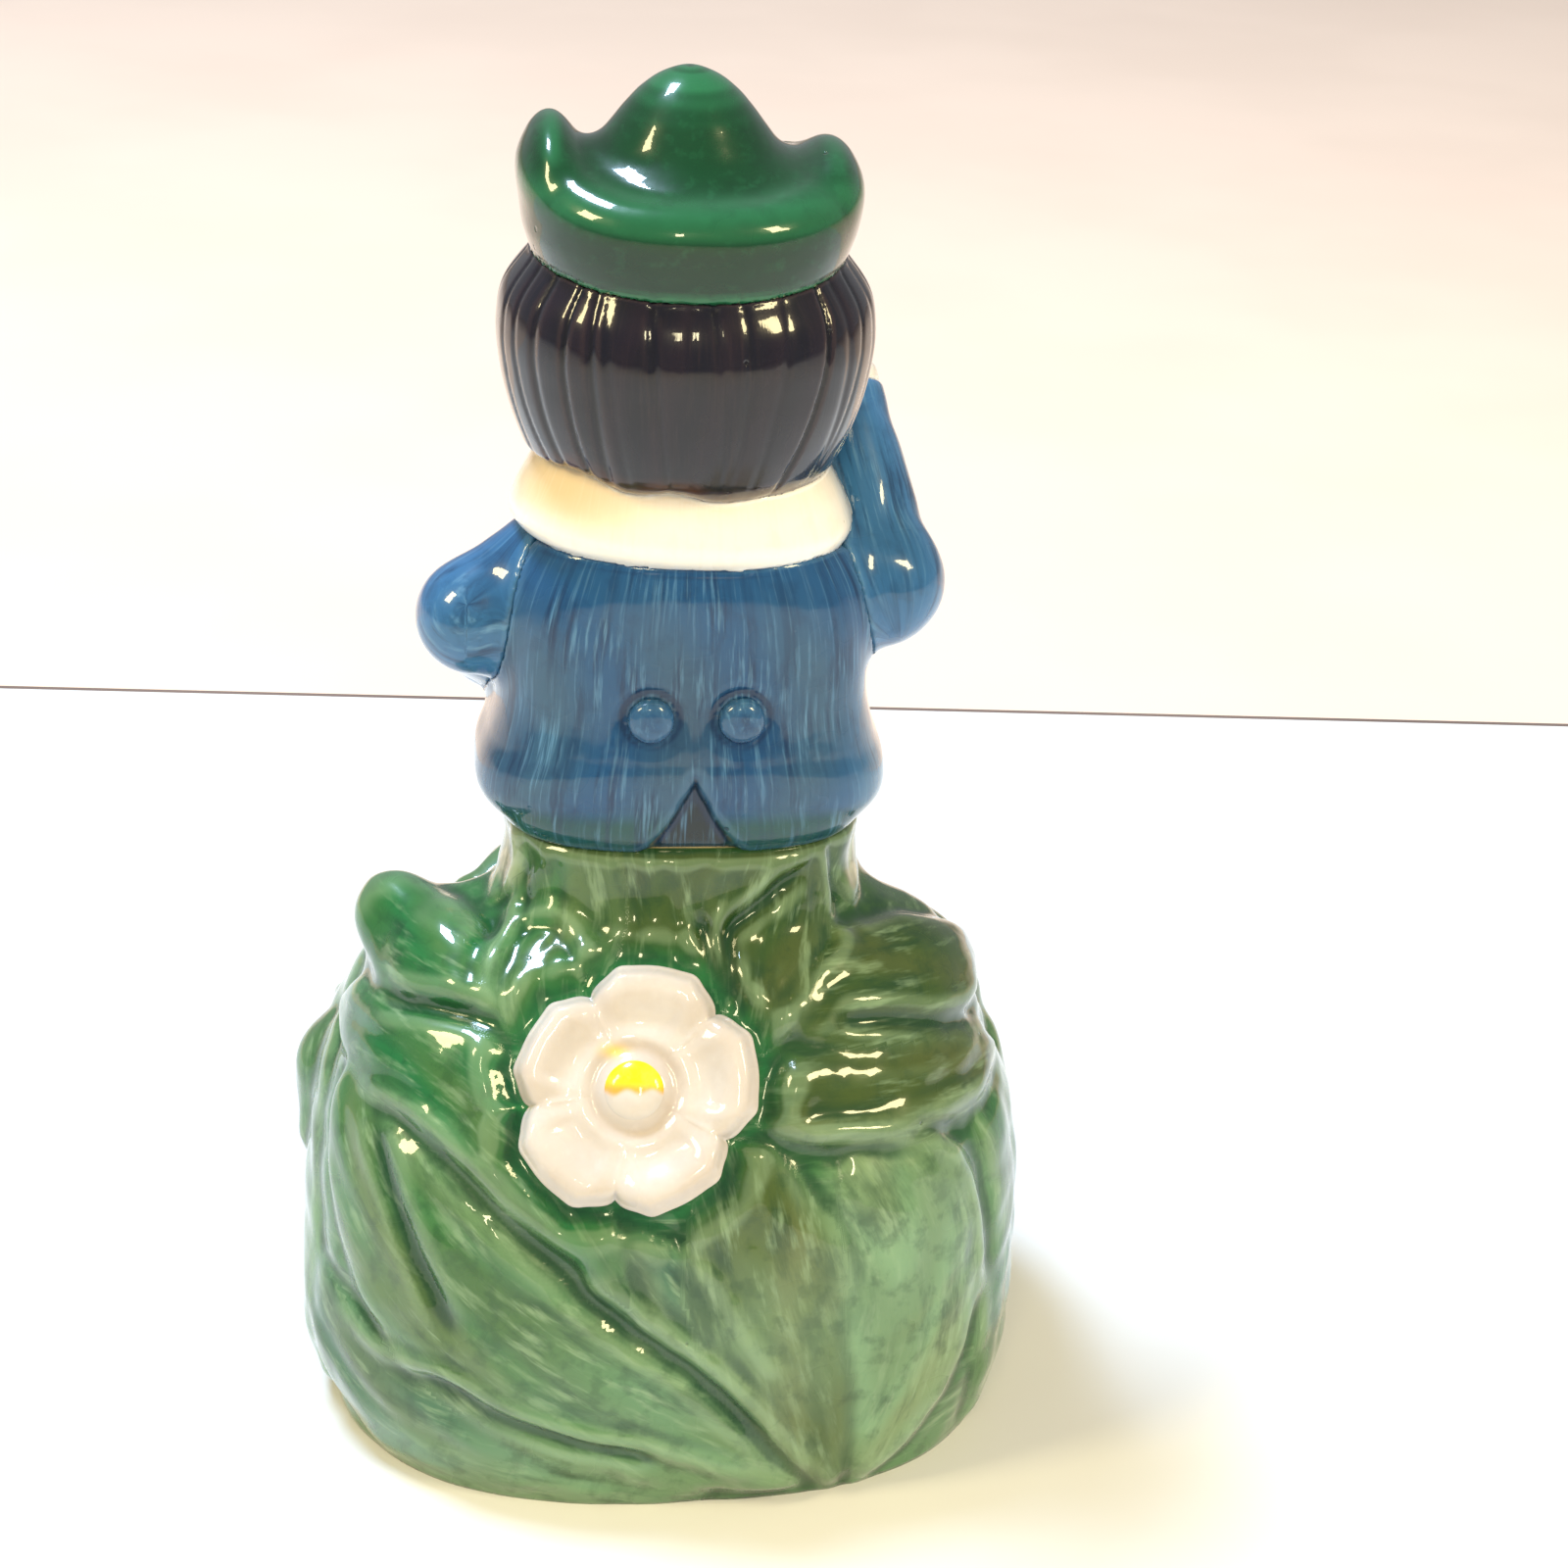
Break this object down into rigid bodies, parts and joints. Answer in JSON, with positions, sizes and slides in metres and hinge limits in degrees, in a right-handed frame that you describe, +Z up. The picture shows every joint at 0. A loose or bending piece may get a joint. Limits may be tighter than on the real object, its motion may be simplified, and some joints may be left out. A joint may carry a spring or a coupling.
{
  "type": "porcelain bell",
  "caption": "Hollow porcelain figure bell with a leaf-covered skirt and a glazed bead clapper that swings from a bar in its neck.",
  "frame": {"origin": "centre of the rim plane that the bell stands on", "axes": "+Z up, the figure faces -Y, and its left side is +X"},
  "size_m": [0.0644, 0.0578, 0.12],
  "materials": {
    "leaf_glaze": "clear gloss glaze over brushed green underglaze",
    "petal_glaze": "clear gloss glaze over white",
    "yellow_glaze": "clear gloss glaze over yellow",
    "red_glaze": "clear gloss glaze over red",
    "blue_glaze": "clear gloss glaze over brushed blue underglaze",
    "button_glaze": "clear gloss glaze over blue",
    "white_glaze": "clear gloss glaze over white",
    "skin_glaze": "clear gloss glaze over flesh tint",
    "hair_glaze": "clear gloss glaze over black",
    "hat_glaze": "clear gloss glaze over dark green",
    "bar_ceramic": "bare white porcelain",
    "clapper_brass": "drawn wire",
    "bead_glaze": "clear gloss glaze over white"
  },
  "bodies": {
    "bell": {"leaf_skirt": "leaf_glaze", "flower_petals": "petal_glaze", "flower_centre": "yellow_glaze", "breeches": "red_glaze", "jacket": "blue_glaze", "back_button_left": "button_glaze", "back_button_right": "button_glaze", "front_buttons": "button_glaze", "collar": "white_glaze", "left_sleeve": "blue_glaze", "right_sleeve": "blue_glaze", "left_cuff": "white_glaze", "right_cuff": "white_glaze", "left_hand": "skin_glaze", "right_hand": "skin_glaze", "head": "skin_glaze", "hair": "hair_glaze", "hat": "hat_glaze", "clapper_bar": "bar_ceramic"},
    "hook": {"s_hook": "clapper_brass"},
    "clapper": {"clapper_wire": "clapper_brass", "clapper_bead": "bead_glaze"}
  },
  "joints": [
    {"name": "swing_fore_aft", "type": "hinge", "parent": "bell", "child": "hook", "pos_m": [0, 0, 0.0495], "axis": [1, 0, 0], "range_deg": [-29, 29]},
    {"name": "swing_side", "type": "hinge", "parent": "hook", "child": "clapper", "pos_m": [0, 0, 0.04305], "axis": [0, 1, 0], "range_deg": [-38, 38]}
  ]
}
